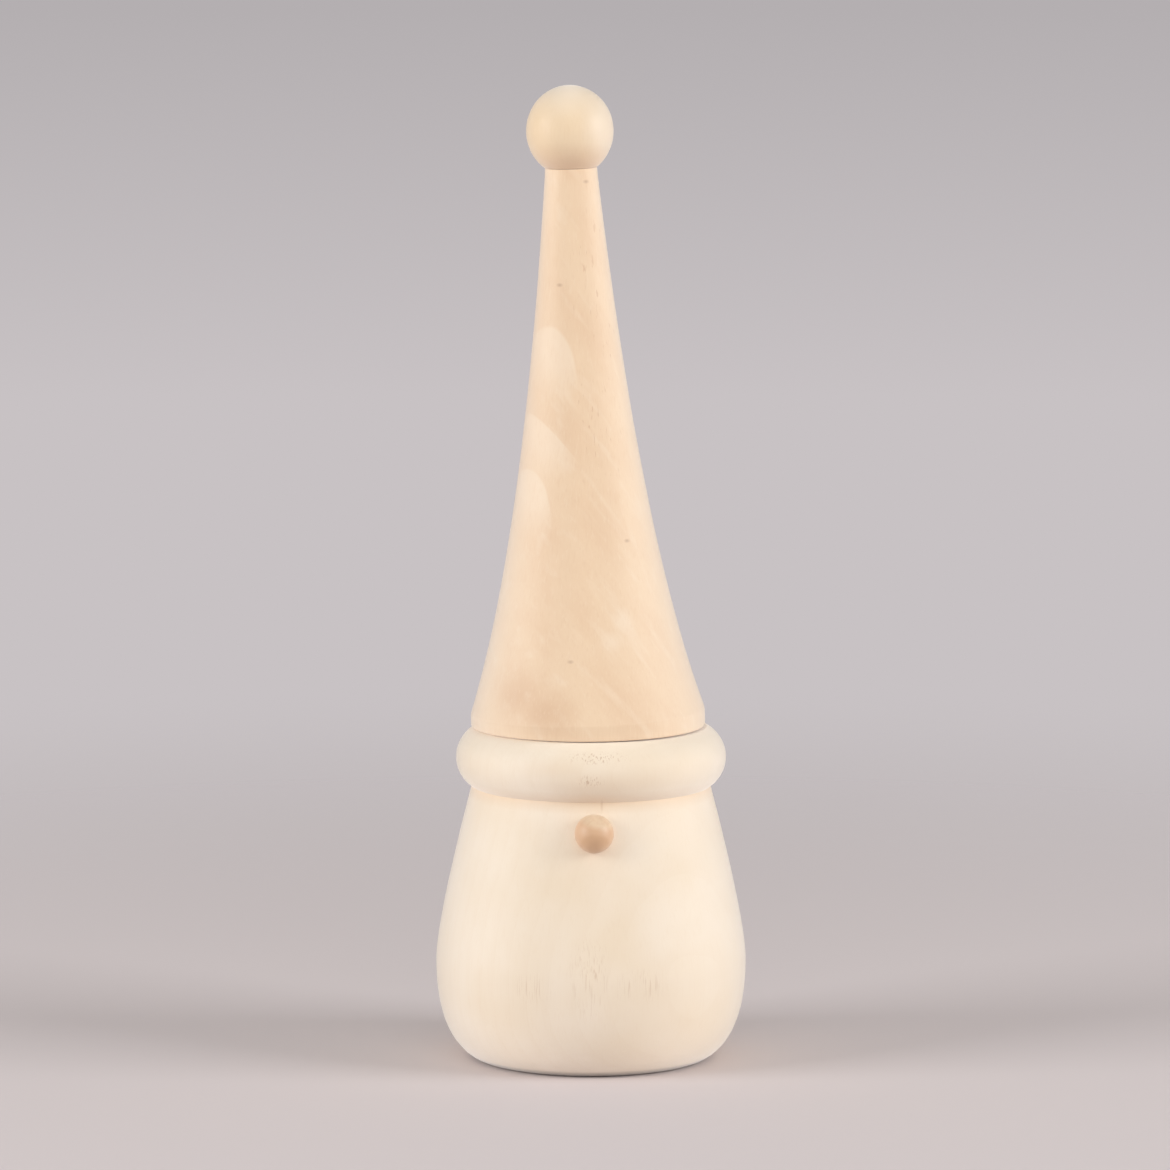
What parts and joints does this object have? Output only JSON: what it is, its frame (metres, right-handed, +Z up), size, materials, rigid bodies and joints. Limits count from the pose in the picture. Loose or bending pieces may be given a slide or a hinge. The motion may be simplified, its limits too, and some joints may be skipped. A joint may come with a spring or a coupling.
{
  "type": "turned wooden gnome figure",
  "caption": "Free-standing turned wooden gnome: pear-shaped body with a rolled brim and a nose bead, under a tall leaning hat with a round bobble that turns and lifts off.",
  "frame": {"origin": "middle of the flat base, on the surface that the figure stands on", "axes": "+Z up along the body's turning axis; -Y towards the nose; the hat leans towards -X"},
  "size_m": [0.0644, 0.0644, 0.2017],
  "materials": {
    "lime_wood": "raw, turned and sanded",
    "hat_wood": "raw, turned and sanded",
    "bobble_wood": "raw, tumbled smooth",
    "bead_wood": "polished by tumbling",
    "dowel_wood": "raw dowel"
  },
  "bodies": {
    "body": {"body": "lime_wood", "nose": "bead_wood"},
    "hat_peg": {"hat_peg": "dowel_wood"},
    "hat": {"hat": "hat_wood", "bobble_peg": "dowel_wood", "bobble": "bobble_wood"}
  },
  "joints": [
    {"name": "hat_turn", "type": "hinge", "parent": "body", "child": "hat_peg", "pos_m": [0, 0, 0.0695], "axis": [0, 0, 1], "continuous": true},
    {"name": "hat_lift", "type": "slide", "parent": "hat_peg", "child": "hat", "axis": [0, 0, 1], "range_m": [0, 0.025]}
  ]
}
